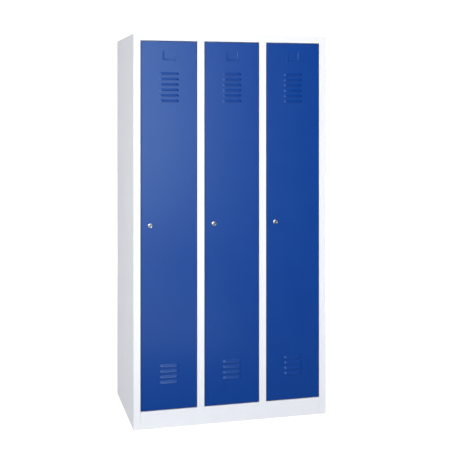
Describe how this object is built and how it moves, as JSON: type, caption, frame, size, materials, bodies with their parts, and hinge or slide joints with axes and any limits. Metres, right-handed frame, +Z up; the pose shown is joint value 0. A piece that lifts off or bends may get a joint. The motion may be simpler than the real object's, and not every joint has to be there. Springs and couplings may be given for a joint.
{
  "type": "clothes locker cabinet",
  "caption": "Free-standing steel clothes locker: side-by-side tall hinged doors with louvres, cam locks and card holders, hat shelf and coat rail inside, on a closed plinth.",
  "frame": {"origin": "middle of the footprint, on the floor", "axes": "+Z up along the height; the doors face -Y and the back panel +Y; +X towards the hinge side of each door"},
  "size_m": [0.93, 0.5046, 1.8],
  "materials": {
    "body_paint": "semi-gloss powder coat",
    "door_paint": "semi-gloss powder coat",
    "lock_chrome": "polished",
    "zinc": "zinc plated",
    "rail_zinc": "bright zinc",
    "rubber": "matte",
    "bush_plastic": "natural nylon",
    "bracket_plastic": "moulded",
    "hook_plastic": "moulded"
  },
  "bodies": {
    "carcass": {"left_side": "body_paint", "right_side": "body_paint", "left_partition": "body_paint", "right_partition": "body_paint", "left_mullion": "body_paint", "right_mullion": "body_paint", "back_panel": "body_paint", "roof_panel": "body_paint", "floor_panel": "body_paint", "head_rail": "body_paint", "plinth_front": "body_paint", "plinth_rear": "body_paint", "pivot_bushes": "bush_plastic", "door_buffers": "rubber", "hat_shelf_1": "body_paint", "hat_shelf_2": "body_paint", "hat_shelf_3": "body_paint", "coat_rail_1": "rail_zinc", "coat_rail_2": "rail_zinc", "coat_rail_3": "rail_zinc", "rail_brackets": "bracket_plastic", "bracket_rivets": "zinc"},
    "door_1": {"door_skin_1": "door_paint", "door_stiffener_1": "door_paint", "label_frame_1": "door_paint", "pivot_blocks_1": "zinc", "pivot_pins_1": "zinc", "lock_body_1": "lock_chrome", "lock_nut_1": "zinc"},
    "lock_1": {"lock_plug_1": "lock_chrome", "lock_cam_1": "zinc", "cam_screw_1": "zinc"},
    "hook_1": {"coat_hook_1": "hook_plastic"},
    "hook_2": {"coat_hook_2": "hook_plastic"},
    "door_2": {"door_skin_2": "door_paint", "door_stiffener_2": "door_paint", "label_frame_2": "door_paint", "pivot_blocks_2": "zinc", "pivot_pins_2": "zinc", "lock_body_2": "lock_chrome", "lock_nut_2": "zinc"},
    "lock_2": {"lock_plug_2": "lock_chrome", "lock_cam_2": "zinc", "cam_screw_2": "zinc"},
    "hook_3": {"coat_hook_3": "hook_plastic"},
    "hook_4": {"coat_hook_4": "hook_plastic"},
    "door_3": {"door_skin_3": "door_paint", "door_stiffener_3": "door_paint", "label_frame_3": "door_paint", "pivot_blocks_3": "zinc", "pivot_pins_3": "zinc", "lock_body_3": "lock_chrome", "lock_nut_3": "zinc"},
    "lock_3": {"lock_plug_3": "lock_chrome", "lock_cam_3": "zinc", "cam_screw_3": "zinc"},
    "hook_5": {"coat_hook_5": "hook_plastic"},
    "hook_6": {"coat_hook_6": "hook_plastic"}
  },
  "joints": [
    {"name": "door_1_hinge", "type": "hinge", "parent": "carcass", "child": "door_1", "pos_m": [-0.1765, -0.245, 0.925], "axis": [0, 0, 1], "range_deg": [0, 110]},
    {"name": "lock_1_turn", "type": "hinge", "parent": "door_1", "child": "lock_1", "pos_m": [-0.387, -0.25, 0.925], "axis": [0, 1, 0], "range_deg": [0, 90]},
    {"name": "hook_1_slide", "type": "slide", "parent": "carcass", "child": "hook_1", "axis": [1, 0, 0], "range_m": [-0.055, 0.05]},
    {"name": "hook_2_slide", "type": "slide", "parent": "carcass", "child": "hook_2", "axis": [1, 0, 0], "range_m": [-0.05, 0.055]},
    {"name": "door_2_hinge", "type": "hinge", "parent": "carcass", "child": "door_2", "pos_m": [0.1235, -0.245, 0.925], "axis": [0, 0, 1], "range_deg": [0, 110]},
    {"name": "lock_2_turn", "type": "hinge", "parent": "door_2", "child": "lock_2", "pos_m": [-0.087, -0.25, 0.925], "axis": [0, 1, 0], "range_deg": [0, 90]},
    {"name": "hook_3_slide", "type": "slide", "parent": "carcass", "child": "hook_3", "axis": [1, 0, 0], "range_m": [-0.055, 0.05]},
    {"name": "hook_4_slide", "type": "slide", "parent": "carcass", "child": "hook_4", "axis": [1, 0, 0], "range_m": [-0.05, 0.055]},
    {"name": "door_3_hinge", "type": "hinge", "parent": "carcass", "child": "door_3", "pos_m": [0.4235, -0.245, 0.925], "axis": [0, 0, 1], "range_deg": [0, 110]},
    {"name": "lock_3_turn", "type": "hinge", "parent": "door_3", "child": "lock_3", "pos_m": [0.213, -0.25, 0.925], "axis": [0, 1, 0], "range_deg": [0, 90]},
    {"name": "hook_5_slide", "type": "slide", "parent": "carcass", "child": "hook_5", "axis": [1, 0, 0], "range_m": [-0.055, 0.05]},
    {"name": "hook_6_slide", "type": "slide", "parent": "carcass", "child": "hook_6", "axis": [1, 0, 0], "range_m": [-0.05, 0.055]}
  ]
}
